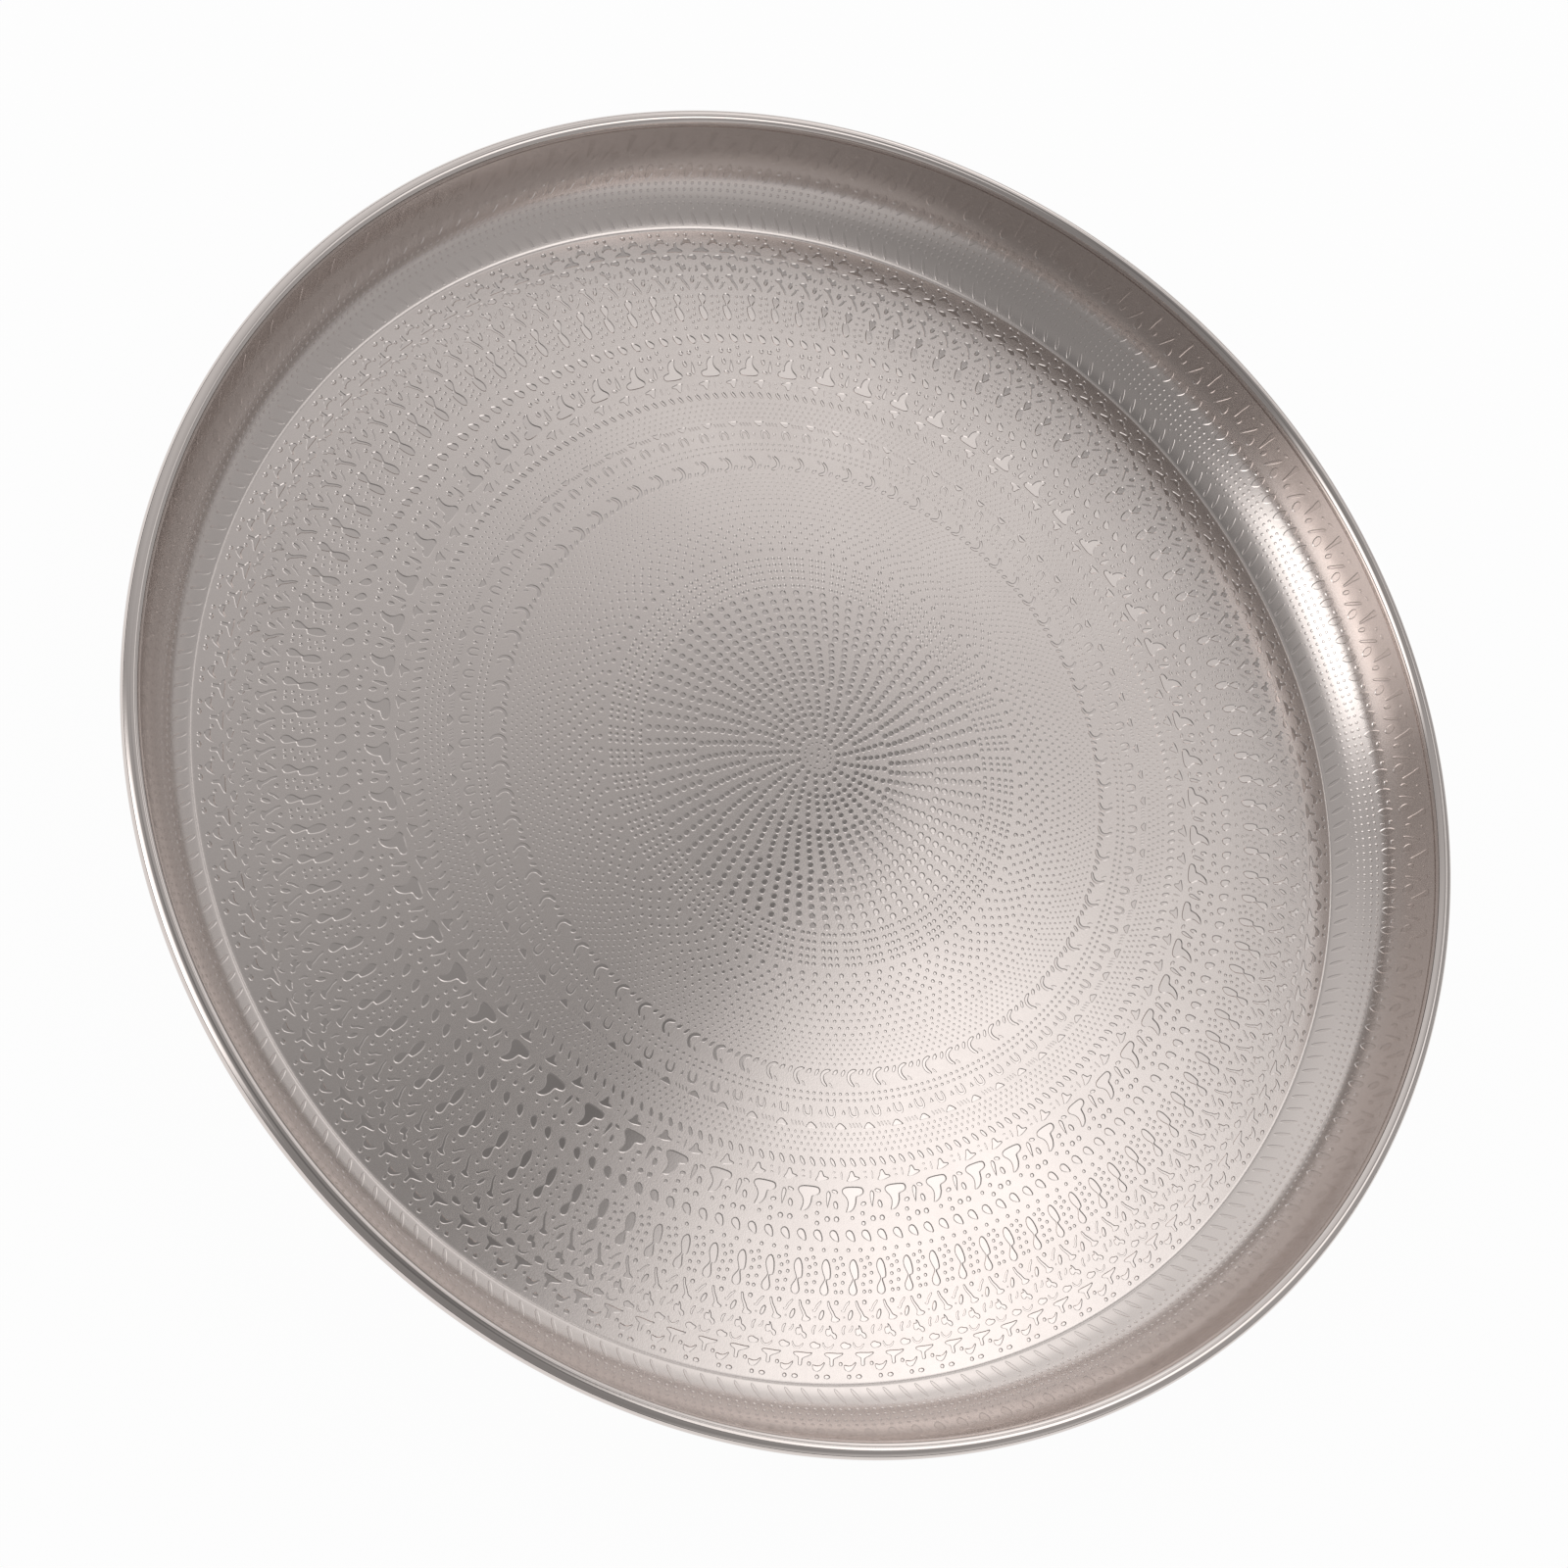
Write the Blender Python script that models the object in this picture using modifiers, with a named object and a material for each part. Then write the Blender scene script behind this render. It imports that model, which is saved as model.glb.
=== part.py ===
"""Round pressed-steel serving tray with a wired, rolled rim.

The tray is two pieces: a thin pan drawn from one disc of sheet steel, whose edge is
rolled outwards into a bead, and the round wire that the bead is rolled around.
Run with: blender --background --python part.py
Units are metres, +Z is up, and the origin is the middle of the underside.
"""
import math

import bpy
from mathutils import Vector

# Driving dimensions of the pan
RIM_DIAMETER = 0.400        # across the outside of the rolled rim
WALL_SPREAD = 0.022         # from the outside of the rim in to where the flat floor ends
FLOOR_DEPTH = 0.0335        # from the middle of the rim bead down to the floor's upper face
SHEET = 0.0006              # thickness of the sheet
COVE_RADIUS = 0.008         # inside radius of the tight curve where the wall leaves the floor
FOOT_SLOPE = math.radians(36)   # of the wall where that curve ends and the wide bow of the wall begins
TOP_SLOPE = math.radians(86)    # of the wall under the rim

# Driving dimensions of the rolled rim
BEAD_DIAMETER = 0.0048      # outside diameter of the roll
BEAD_OVERHANG = 0.0005      # how far the roll stands in from the line of the wall
NECK_RADIUS = 0.0009        # inside radius of the small hollow under the roll
HEM_GAP = 0.0004            # slit left between the end of the roll and the wall
WIRE_CLEARANCE = 0.0003     # all round the wire, inside the roll

# How finely the round forms are divided
TURN_STEPS = 80
COVE_STEPS = 4
BOW_STEPS = 6
NECK_STEPS = 3
BEAD_STEPS = 14
WIRE_SIDES = 12

# The spin closes on the axis, where points closer than this are one point
AXIS_MERGE = 0.00001

SHEET_COLOUR = (0.62, 0.60, 0.585, 1.0)
SHEET_ROUGHNESS = 0.28
WIRE_COLOUR = (0.50, 0.49, 0.48, 1.0)
WIRE_ROUGHNESS = 0.45

# Sizes that follow, all measured to the middle of the sheet
RIM_RADIUS = RIM_DIAMETER / 2
FLOOR_RADIUS = RIM_RADIUS - WALL_SPREAD
FLOOR_HEIGHT = SHEET / 2
COVE_BEND = COVE_RADIUS + SHEET / 2
NECK_BEND = NECK_RADIUS + SHEET / 2
BEAD_BEND = (BEAD_DIAMETER - SHEET) / 2
WIRE_RADIUS = BEAD_BEND - SHEET / 2 - WIRE_CLEARANCE
BEAD_CENTRE = Vector((RIM_RADIUS - BEAD_DIAMETER / 2, SHEET + FLOOR_DEPTH))
COVE_CENTRE = Vector((FLOOR_RADIUS, FLOOR_HEIGHT + COVE_BEND))
WALL_OFFSET = BEAD_BEND - BEAD_OVERHANG
INWARD = TOP_SLOPE + math.radians(90)


def direction(angle):
    """Unit vector at an angle in the plane of radius and height."""
    return Vector((math.cos(angle), math.sin(angle)))


def arc(centre, bend, start, turn, steps):
    """Points along an arc, without its first one, from angle start through angle turn."""
    angles = [start + turn * step / steps for step in range(1, steps + 1)]
    return [centre + bend * direction(angle) for angle in angles]


def wall_bow():
    """Centre and bend of the wall's wide bow, from the end of the cove to the straight wall under the rim."""
    foot = COVE_CENTRE + COVE_BEND * direction(FOOT_SLOPE - math.radians(90))
    wall_abreast_bead = BEAD_CENTRE + WALL_OFFSET * direction(INWARD)
    reach = (foot - wall_abreast_bead).dot(direction(INWARD))
    bend = reach / (1 - math.cos(TOP_SLOPE - FOOT_SLOPE))
    return foot + bend * direction(FOOT_SLOPE + math.radians(90)), bend


def bead_end():
    """Angle round the bead, from its innermost point, where its free edge stops at the hem."""
    reach = WALL_OFFSET - SHEET / 2 - HEM_GAP
    return math.radians(270) + math.asin(reach / (BEAD_BEND + SHEET / 2))


def pan_profile():
    """Half section of the pan at mid sheet: floor, cove, bowed wall, neck and rolled bead."""
    neck_turn = math.acos((WALL_OFFSET + NECK_BEND) / (BEAD_BEND + NECK_BEND))
    wall_abreast_bead = BEAD_CENTRE + WALL_OFFSET * direction(INWARD)
    neck_rise = (BEAD_BEND + NECK_BEND) * math.sin(neck_turn)
    wall_top = wall_abreast_bead - neck_rise * direction(TOP_SLOPE)
    neck_centre = wall_top + NECK_BEND * direction(INWARD)
    bow_centre, bow_bend = wall_bow()

    points = [Vector((0.0, FLOOR_HEIGHT)), Vector((FLOOR_RADIUS, FLOOR_HEIGHT))]
    points += arc(COVE_CENTRE, COVE_BEND, math.radians(-90), FOOT_SLOPE, COVE_STEPS)
    bow_start = FOOT_SLOPE - math.radians(90)
    points += arc(bow_centre, bow_bend, bow_start, TOP_SLOPE - FOOT_SLOPE, BOW_STEPS)
    points.append(wall_top)
    points += arc(neck_centre, NECK_BEND, TOP_SLOPE - math.radians(90), neck_turn, NECK_STEPS)
    bead_turn = neck_turn + bead_end()
    points += arc(BEAD_CENTRE, BEAD_BEND, INWARD + neck_turn, -bead_turn, BEAD_STEPS)
    return points


def steel(name, colour, roughness):
    """A plain steel material."""
    material = bpy.data.materials.new(name)
    material.use_nodes = True
    shader = material.node_tree.nodes["Principled BSDF"]
    shader.inputs["Base Color"].default_value = colour
    shader.inputs["Metallic"].default_value = 1.0
    shader.inputs["Roughness"].default_value = roughness
    return material


def make_pan(collection):
    """The pan: the half section spun round the axis and given the sheet's thickness."""
    points = pan_profile()
    mesh = bpy.data.meshes.new("tray_pan")
    corners = [(point.x, 0.0, point.y) for point in points]
    edges = [(index, index + 1) for index in range(len(points) - 1)]
    mesh.from_pydata(corners, edges, [])
    pan = bpy.data.objects.new("tray_pan", mesh)
    collection.objects.link(pan)

    spin = pan.modifiers.new("spin", "SCREW")
    spin.axis = "Z"
    spin.angle = math.radians(360)
    spin.steps = TURN_STEPS
    spin.render_steps = TURN_STEPS
    spin.use_merge_vertices = True
    spin.merge_threshold = AXIS_MERGE
    spin.use_smooth_shade = True

    thickness = pan.modifiers.new("sheet", "SOLIDIFY")
    thickness.thickness = SHEET
    thickness.offset = 0.0
    thickness.use_even_offset = True
    thickness.use_quality_normals = True
    mesh.materials.append(steel("pressed_steel", SHEET_COLOUR, SHEET_ROUGHNESS))
    return pan


def make_wire(collection):
    """The rim wire: a closed ring lying in the middle of the rolled bead."""
    bpy.ops.mesh.primitive_torus_add(
        location=(0.0, 0.0, BEAD_CENTRE.y),
        major_radius=BEAD_CENTRE.x,
        minor_radius=WIRE_RADIUS,
        major_segments=TURN_STEPS,
        minor_segments=WIRE_SIDES,
    )
    wire = bpy.context.object
    wire.name = "rim_wire"
    wire.data.name = "rim_wire"
    for owner in list(wire.users_collection):
        owner.objects.unlink(wire)
    collection.objects.link(wire)
    wire.data.shade_smooth()
    wire.data.materials.append(steel("wire_steel", WIRE_COLOUR, WIRE_ROUGHNESS))
    return wire


def main():
    """Clear the scene and build the tray around one empty at its base."""
    for thing in list(bpy.data.objects):
        bpy.data.objects.remove(thing, do_unlink=True)
    collection = bpy.data.collections.new("decorative_tray")
    bpy.context.scene.collection.children.link(collection)
    base = bpy.data.objects.new("tray_base", None)
    collection.objects.link(base)
    for piece in (make_pan(collection), make_wire(collection)):
        piece.parent = base


main()
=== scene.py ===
"""Looks of a round pressed-steel tray: embossed floor and wall, rolled rim, steel finishes and studio.

The pan is made as the real one is. Rings of small marks are pressed into a flat blank, which is then
drawn up into its cove and wall. The rolled rim is turned round the axis, over the wire of the frame.
Lengths of the pressed pattern are in millimetres, everything else is in metres.
"""
import math

import bmesh
import bpy
from bpy.props import FloatProperty, FloatVectorProperty, IntProperty, PointerProperty
from mathutils import Matrix, Vector


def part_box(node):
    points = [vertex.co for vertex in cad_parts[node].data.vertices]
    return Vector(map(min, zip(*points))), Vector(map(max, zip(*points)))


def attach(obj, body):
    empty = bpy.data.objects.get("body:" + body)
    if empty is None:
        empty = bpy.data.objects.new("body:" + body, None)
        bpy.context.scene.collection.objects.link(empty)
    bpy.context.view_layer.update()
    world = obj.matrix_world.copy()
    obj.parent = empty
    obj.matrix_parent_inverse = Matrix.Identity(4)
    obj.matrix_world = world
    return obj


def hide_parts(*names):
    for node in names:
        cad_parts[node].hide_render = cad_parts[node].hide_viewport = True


bl_info = {
    "name": "Embossed round tray",
    "version": (1, 0, 0),
    "blender": (4, 5, 0),
    "location": "View3D > Sidebar > Tray",
    "description": "Builds the embossed pan, rolled rim, steel finishes and studio of a round tray",
    "category": "Object",
}

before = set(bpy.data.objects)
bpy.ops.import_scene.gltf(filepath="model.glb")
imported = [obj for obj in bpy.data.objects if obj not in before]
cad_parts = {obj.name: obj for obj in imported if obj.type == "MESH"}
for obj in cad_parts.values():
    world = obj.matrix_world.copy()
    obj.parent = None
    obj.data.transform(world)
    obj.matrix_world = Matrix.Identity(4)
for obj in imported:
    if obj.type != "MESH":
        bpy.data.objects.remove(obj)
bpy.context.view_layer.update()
MM = 0.001

# The wire of the frame gives the middle of the rim's bead
WIRE_LOW, WIRE_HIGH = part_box("rim_wire")
WIRE_RADIUS = (WIRE_HIGH.z - WIRE_LOW.z) / 2
BEAD_RADIUS_FROM_AXIS = WIRE_HIGH.x - WIRE_RADIUS
BEAD_HEIGHT = (WIRE_HIGH.z + WIRE_LOW.z) / 2

# Points nearer than this are one point, and a point this near a circle lies on it
WELD = 0.000001
ON_CIRCLE = 0.00001

# Faces that meet at more than this angle have a sharp edge between them
SHARP_ANGLE = math.radians(60)

# The tray's axis
ORIGIN = (0.0, 0.0, 0.0)
UPWARD = (0.0, 0.0, 1.0)

WHITE = (1.0, 1.0, 1.0, 1.0)


class TraySizes(bpy.types.PropertyGroup):
    """Sizes of the sheet, its bends and its pressed marks."""

    sheet: FloatProperty(
        name="Sheet", description="Thickness of the sheet", default=0.0006, unit="LENGTH", precision=5)
    floor_radius: FloatProperty(
        name="Floor radius", description="Where the flat floor ends and the cove begins",
        default=0.1788, unit="LENGTH", precision=4)
    cove_radius: FloatProperty(
        name="Cove radius", description="Inside radius of the tight curve where the wall leaves the floor",
        default=0.0018, unit="LENGTH", precision=4)
    foot_slope: FloatProperty(
        name="Foot slope", description="Slope of the wall where that curve ends and the wide bow begins",
        default=math.radians(28), subtype="ANGLE")
    top_slope: FloatProperty(
        name="Top slope", description="Slope of the wall under the rim",
        default=math.radians(86), subtype="ANGLE")
    wire_clearance: FloatProperty(
        name="Wire clearance", description="Gap all round the wire inside the roll",
        default=0.0003, unit="LENGTH", precision=5)
    bead_overhang: FloatProperty(
        name="Bead overhang", description="How far the roll stands in from the line of the wall",
        default=0.0005, unit="LENGTH", precision=5)
    neck_radius: FloatProperty(
        name="Neck radius", description="Inside radius of the small hollow under the roll",
        default=0.0009, unit="LENGTH", precision=5)
    hem_gap: FloatProperty(
        name="Hem gap", description="Slit between the end of the roll and the wall",
        default=0.0004, unit="LENGTH", precision=5)
    press_slope: FloatProperty(
        name="Press slope", description="Depth of a mark as a share of the width of its sloping edge",
        default=0.45, min=0.0, max=1.0, subtype="FACTOR")
    wall_press_slope: FloatProperty(
        name="Wall press slope", description="The same share for the shallower marks of the wall",
        default=0.26, min=0.0, max=1.0, subtype="FACTOR")
    floor_steps: IntProperty(
        name="Floor steps", description="Divisions of the circles between the rings of the floor",
        default=360, min=60)
    wall_steps: IntProperty(
        name="Wall steps", description="Divisions of the circles of the cove, the wall and the rim",
        default=720, min=60)


class TrayFinish(bpy.types.PropertyGroup):
    """Colours and polish of the steel."""

    ground: FloatVectorProperty(
        name="Ground", description="Colour of the sheet between the marks",
        default=(0.70, 0.639, 0.610), size=3, min=0.0, max=1.0, subtype="COLOR")
    marks: FloatVectorProperty(
        name="Marks", description="Colour of the pressed marks",
        default=(0.615, 0.561, 0.536), size=3, min=0.0, max=1.0, subtype="COLOR")
    stain: FloatVectorProperty(
        name="Stain", description="Colour where handling has dulled the sheet",
        default=(0.64, 0.581, 0.553), size=3, min=0.0, max=1.0, subtype="COLOR")
    wire: FloatVectorProperty(
        name="Wire", description="Colour of the wire inside the roll",
        default=(0.42, 0.41, 0.40), size=3, min=0.0, max=1.0, subtype="COLOR")
    ground_roughness: FloatProperty(
        name="Ground roughness", description="Roughness of the sheet between the marks",
        default=0.20, min=0.0, max=1.0, subtype="FACTOR")
    pressed_roughness: FloatProperty(
        name="Pressed roughness", description="Roughness of the floors and edges of the marks",
        default=0.08, min=0.0, max=1.0, subtype="FACTOR")
    rim_roughness: FloatProperty(
        name="Rim roughness", description="Roughness of the rolled rim",
        default=0.05, min=0.0, max=1.0, subtype="FACTOR")
    wire_roughness: FloatProperty(
        name="Wire roughness", description="Roughness of the wire inside the roll",
        default=0.4, min=0.0, max=1.0, subtype="FACTOR")


class TrayStudio(bpy.types.PropertyGroup):
    """Camera and light."""

    distance: FloatProperty(
        name="Distance", description="From the camera to the middle of the rim",
        default=0.621, unit="LENGTH", precision=4)
    elevation: FloatProperty(
        name="Elevation", description="Height of the camera above the plane of the rim",
        default=math.radians(58.88), subtype="ANGLE")
    roll: FloatProperty(
        name="Roll", description="Turn of the picture about the line of sight",
        default=math.radians(47.94), subtype="ANGLE")
    lens: FloatProperty(
        name="Lens", description="Focal length on a 36 mm sensor, in millimetres", default=50.265)
    aim_column: FloatProperty(
        name="Aim column", description="Pixel column of the rim's middle in a picture 1600 wide",
        default=878.8, subtype="PIXEL")
    aim_row: FloatProperty(
        name="Aim row", description="Pixel row of the rim's middle in a picture 1600 high",
        default=731.5, subtype="PIXEL")
    panel_height: FloatProperty(
        name="Panel height", description="Height of the overhead light panel", default=1.2, unit="LENGTH")
    panel_radius: FloatProperty(
        name="Panel radius", description="Radius of the overhead light panel", default=0.63, unit="LENGTH")


class PanShape:
    """Upper face of the pan: where a point of the flat blank goes when the sheet is drawn."""

    def __init__(self, sizes):
        self.sheet = sizes.sheet
        self.floor_radius = sizes.floor_radius
        self.cove_radius = sizes.cove_radius
        self.neck_bend = sizes.neck_radius + sizes.sheet / 2
        self.bead_bend = WIRE_RADIUS + sizes.wire_clearance + sizes.sheet / 2
        self.bead_centre = Vector((BEAD_RADIUS_FROM_AXIS, BEAD_HEIGHT))
        self.cove_centre = Vector((self.floor_radius, self.sheet + self.cove_radius))

        self.foot = sizes.foot_slope
        self.slope = sizes.top_slope
        self.inward = self.slope + math.radians(90)
        self.wall_offset = self.bead_bend - sizes.bead_overhang
        abreast = self.bead_centre + self.wall_offset * direction(self.inward)
        foot_point = arc_point(self.cove_centre, self.cove_radius + self.sheet / 2, self.foot)
        bend = (foot_point - abreast).dot(direction(self.inward)) / (1 - math.cos(self.slope - self.foot))
        self.bow_centre = foot_point + bend * direction(self.foot + math.radians(90))
        self.bow_radius = bend - self.sheet / 2
        self.cove_end = self.floor_radius + self.cove_radius * self.foot
        self.bow_end = self.cove_end + self.bow_radius * (self.slope - self.foot)

        hem_reach = self.wall_offset - self.sheet / 2 - sizes.hem_gap
        self.hem_turn = math.radians(270) + math.asin(hem_reach / (self.bead_bend + self.sheet / 2))
        self.neck_turn = math.acos((self.wall_offset + self.neck_bend) / (self.bead_bend + self.neck_bend))
        neck_rise = (self.bead_bend + self.neck_bend) * math.sin(self.neck_turn)
        self.wall_top = abreast - neck_rise * direction(self.slope)
        self.neck_centre = self.wall_top + self.neck_bend * direction(self.inward)
        top_of_face = self.wall_top + self.sheet / 2 * direction(self.inward)
        self.straight_start = arc_point(self.bow_centre, self.bow_radius, self.slope)
        self.blank_radius = self.bow_end + (top_of_face - self.straight_start).length

    def section(self, reach):
        """Point of the upper face at a distance along the sheet from the axis, and the slope there."""
        if reach <= self.floor_radius:
            return Vector((reach, self.sheet)), 0.0
        if reach <= self.cove_end:
            turn = (reach - self.floor_radius) / self.cove_radius
            return arc_point(self.cove_centre, self.cove_radius, turn), turn
        if reach <= self.bow_end:
            turn = self.foot + (reach - self.cove_end) / self.bow_radius
            return arc_point(self.bow_centre, self.bow_radius, turn), turn
        return self.straight_start + (reach - self.bow_end) * direction(self.slope), self.slope

    def draw(self, bm):
        """Draw a flat embossed blank up into the pan, and return the normals of its unpressed face."""
        normals = []
        for vert in bm.verts:
            reach = max(math.hypot(vert.co.x, vert.co.y), WELD)
            outward = Vector((vert.co.x / reach, vert.co.y / reach, 0.0))
            point, slope = self.section(reach)
            facing = direction(slope + math.radians(90))
            unpressed = vert.co.z > -WELD
            normals.append(facing.x * outward + Vector((0.0, 0.0, facing.y)) if unpressed else Vector())
            point = point + vert.co.z * facing
            vert.co = point.x * outward + Vector((0.0, 0.0, point.y))
        return normals


def direction(angle):
    """Unit vector at an angle in the plane of radius and height."""
    return Vector((math.cos(angle), math.sin(angle)))


def arc_point(centre, radius, turn):
    """Point of an arc that has turned up from the level by an angle."""
    return centre + radius * direction(turn - math.radians(90))


def spline(points, steps, closed):
    """Points along a smooth curve through the given points, with a number of steps to each stretch."""
    count = len(points)
    made = []
    for index in range(count if closed else count - 1):
        corners = []
        for offset in (-1, 0, 1, 2):
            place = index + offset
            corners.append(points[place % count] if closed else points[min(max(place, 0), count - 1)])
        before, start, end, after = corners
        for step in range(steps):
            share = step / steps
            pull = (end - before) * share
            pull += (2 * before - 5 * start + 4 * end - after) * share ** 2
            pull += (3 * start - before - 3 * end + after) * share ** 3
            made.append(start + pull / 2)
    if not closed:
        made.append(points[-1])
    return made


# The sloping edge of a mark takes this share of its half width, up to a limit in millimetres
EDGE_SHARE = 0.42
EDGE_LIMIT = 0.32

# A line loses this share of its width towards its ends, and its tips reach this share of it further
STROKE_TAPER = 0.45
STROKE_TIP = 0.3


class Band:
    """One ring of the pressed pattern, kept as one tile that repeats round the flat blank.

    A place in the tile is its share of the pitch and its distance from the axis in millimetres.
    """

    def __init__(self, repeats, inner, outer, seam=0.0):
        self.repeats = repeats
        self.pitch = 2 * math.pi / repeats
        self.inner = inner
        self.outer = outer
        self.seam = seam if isinstance(seam, list) else [(seam, inner), (seam, outer)]
        self.marks = []

    def flat(self, share, reach):
        """A place of the tile as a point of the blank."""
        angle = share * self.pitch
        return Vector((math.cos(angle), math.sin(angle), 0.0)) * reach * MM

    def mark(self, outline, edge):
        """Add a mark from the points of its outline and the width of its sloping edge."""
        turns = [a.x * b.y - a.y * b.x for a, b in zip(outline, outline[1:] + outline[:1])]
        self.marks.append((outline if sum(turns) > 0 else outline[::-1], edge * MM))

    def oval(self, share, reach, across, along=None, lean=0.0, sides=8, tip=0.0, edge=EDGE_LIMIT):
        """Press a dot or an oval, leaning by degrees towards the next tile, pointed outwards by tip."""
        along = along or across
        middle = self.flat(share, reach)
        outward = middle.normalized() @ Matrix.Rotation(math.radians(-lean), 3, "Z")
        sideways = Vector((-outward.y, outward.x, 0.0))
        outline = []
        for side in range(sides):
            turn = 2 * math.pi * side / sides
            narrow = 1.0 - tip * math.cos(turn)
            offset = outward * along * math.cos(turn) + sideways * across * narrow * math.sin(turn)
            outline.append(middle + offset * MM)
        self.mark(outline, min(edge, EDGE_SHARE * min(across, along)))

    def rows(self, reaches, radius, skew=0.0, stagger=0.0, sides=6, along=None):
        """Press one row of dots at each distance, and let the seam pass half way between the dots."""
        self.seam = []
        for index, reach in enumerate(reaches):
            share = 0.5 + skew * index + stagger * (index % 2)
            self.oval(share, reach, radius, along=along, sides=sides)
            self.seam.append((share - 0.5, reach))
        self.seam.insert(0, (self.seam[0][0], self.inner))
        self.seam.append((self.seam[-1][0], self.outer))

    def shape(self, places, edge, steps=2):
        """Press a rounded shape with a smooth outline through the places."""
        self.mark(spline([self.flat(*place) for place in places], steps, closed=True), edge)

    def stroke(self, places, width, steps=3):
        """Press a line of a given width along a smooth curve through the places, with tapering ends."""
        line = spline([self.flat(*place) for place in places], steps, closed=False)
        left = []
        right = []
        for index, point in enumerate(line):
            heading = line[min(index + 1, len(line) - 1)] - line[max(index - 1, 0)]
            heading.normalize()
            share = 2 * index / (len(line) - 1) - 1
            half = width / 2 * (1 - STROKE_TAPER * share ** 4) * MM
            sideways = Vector((-heading.y, heading.x, 0.0)) * half
            left.append(point + sideways)
            right.append(point - sideways)
        tail = line[0] - (line[1] - line[0]).normalized() * width * STROKE_TIP * MM
        head = line[-1] + (line[-1] - line[-2]).normalized() * width * STROKE_TIP * MM
        self.mark([tail] + right + [head] + left[::-1], EDGE_SHARE * width / 2)

    def border(self, circle_steps):
        """Outline of the tile: an arc, one seam, the outer arc and the other seam."""
        if self.inner == 0:
            return [self.flat(step / circle_steps, self.outer) for step in range(circle_steps)]
        steps = max(1, round(circle_steps / self.repeats))
        first = self.seam[0][0]
        last = self.seam[-1][0]
        outline = [self.flat(first + step / steps, self.inner) for step in range(steps)]
        outline += [self.flat(share + 1, reach) for share, reach in self.seam]
        outline += [self.flat(last + 1 - step / steps, self.outer) for step in range(1, steps)]
        outline += [self.flat(share, reach) for share, reach in reversed(self.seam)]
        return outline[:-1]

    def pressed(self, circle_steps, press_slope):
        """The whole ring as a bmesh, with the marks sunk into it."""
        bm = bmesh.new()
        outlines = [self.border(circle_steps)] + [outline for outline, edge in self.marks]
        loops = [[bm.verts.new(point) for point in outline] for outline in outlines]
        edges = [bm.edges.new(pair) for loop in loops for pair in zip(loop, loop[1:] + loop[:1])]
        bmesh.ops.triangle_fill(bm, use_beauty=True, edges=edges, normal=UPWARD)
        floors = [bm.faces.new(loop) for loop in loops[1:]]
        bm.normal_update()
        for width in sorted({edge for outline, edge in self.marks}):
            sunk = [floor for floor, (outline, edge) in zip(floors, self.marks) if edge == width]
            inset = bmesh.ops.inset_individual(
                bm, faces=sunk, thickness=width, depth=-width * press_slope, use_even_offset=True)
            slopes = set(inset["faces"])
            for face in list(slopes) + sunk:
                face.material_index = 1
            for face in slopes:
                for edge in face.edges:
                    edge.smooth = all(other in slopes for other in edge.link_faces)
        bmesh.ops.triangulate(bm, faces=floors, ngon_method="BEAUTY")
        if self.inner > 0:
            self.repeat(bm)
        loose = [edge for edge in bm.edges if edge.is_boundary]
        stray = set(loose) - on_circle(loose, self.inner, self.outer)
        if stray:
            raise RuntimeError(f"ring from {self.inner} to {self.outer} mm has {len(stray)} open edges")
        return bm

    def repeat(self, bm):
        """Turn the tile round the axis, first into a group of tiles and then into the whole ring."""
        group = next(size for size in range(int(self.repeats ** 0.5), 0, -1) if self.repeats % size == 0)
        for copies, step in ((group, self.pitch), (self.repeats // group, self.pitch * group)):
            if copies > 1:
                tile = bm.verts[:] + bm.edges[:] + bm.faces[:]
                bmesh.ops.spin(
                    bm, geom=tile, cent=ORIGIN, axis=UPWARD,
                    angle=step * (copies - 1), steps=copies - 1, use_duplicate=True)
                bmesh.ops.remove_doubles(bm, verts=bm.verts, dist=WELD)


def on_circle(edges, *reaches):
    """The edges that lie on any of some circles of the blank, whose distances are in millimetres."""
    found = set()
    for edge in edges:
        distances = [math.hypot(vert.co.x, vert.co.y) for vert in edge.verts]
        if any(all(abs(distance - reach * MM) < ON_CIRCLE for distance in distances) for reach in reaches):
            found.add(edge)
    return found


def circle_edges(bm, reach, steps):
    """A new circle of the blank as a loop of edges."""
    verts = bmesh.ops.create_circle(bm, segments=steps, radius=reach * MM)["verts"]
    return list({edge for vert in verts for edge in vert.link_edges})


def join_loops(bm, first, second):
    """Fill the strip of the blank between two loops of edges, whose counts may differ."""
    bmesh.ops.triangle_fill(bm, use_beauty=True, edges=first + second, normal=UPWARD)


def add_band(bm, band, steps, press_slope, last_loop):
    """Join a pressed ring to the loop of edges inside it, and return the loop outside it."""
    ring = band.pressed(steps, press_slope)
    mesh = bpy.data.meshes.new("ring")
    ring.to_mesh(mesh)
    ring.free()
    bm.from_mesh(mesh)
    bpy.data.meshes.remove(mesh)
    loose = [edge for edge in bm.edges if edge.is_boundary]
    if last_loop:
        join_loops(bm, last_loop, list(on_circle(loose, band.inner)))
    return list(on_circle(loose, band.outer))


def step_loop(bm, loop, reach=None, drop=0.0):
    """Extrude a loop of edges to another circle of the blank or down through the sheet."""
    made = bmesh.ops.extrude_edge_only(bm, edges=loop)["geom"]
    for vert in (item for item in made if isinstance(item, bmesh.types.BMVert)):
        if reach:
            spread = reach * MM / math.hypot(vert.co.x, vert.co.y)
            vert.co.x *= spread
            vert.co.y *= spread
        vert.co.z -= drop
    return [item for item in made if isinstance(item, bmesh.types.BMEdge) and item.is_boundary]


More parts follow.
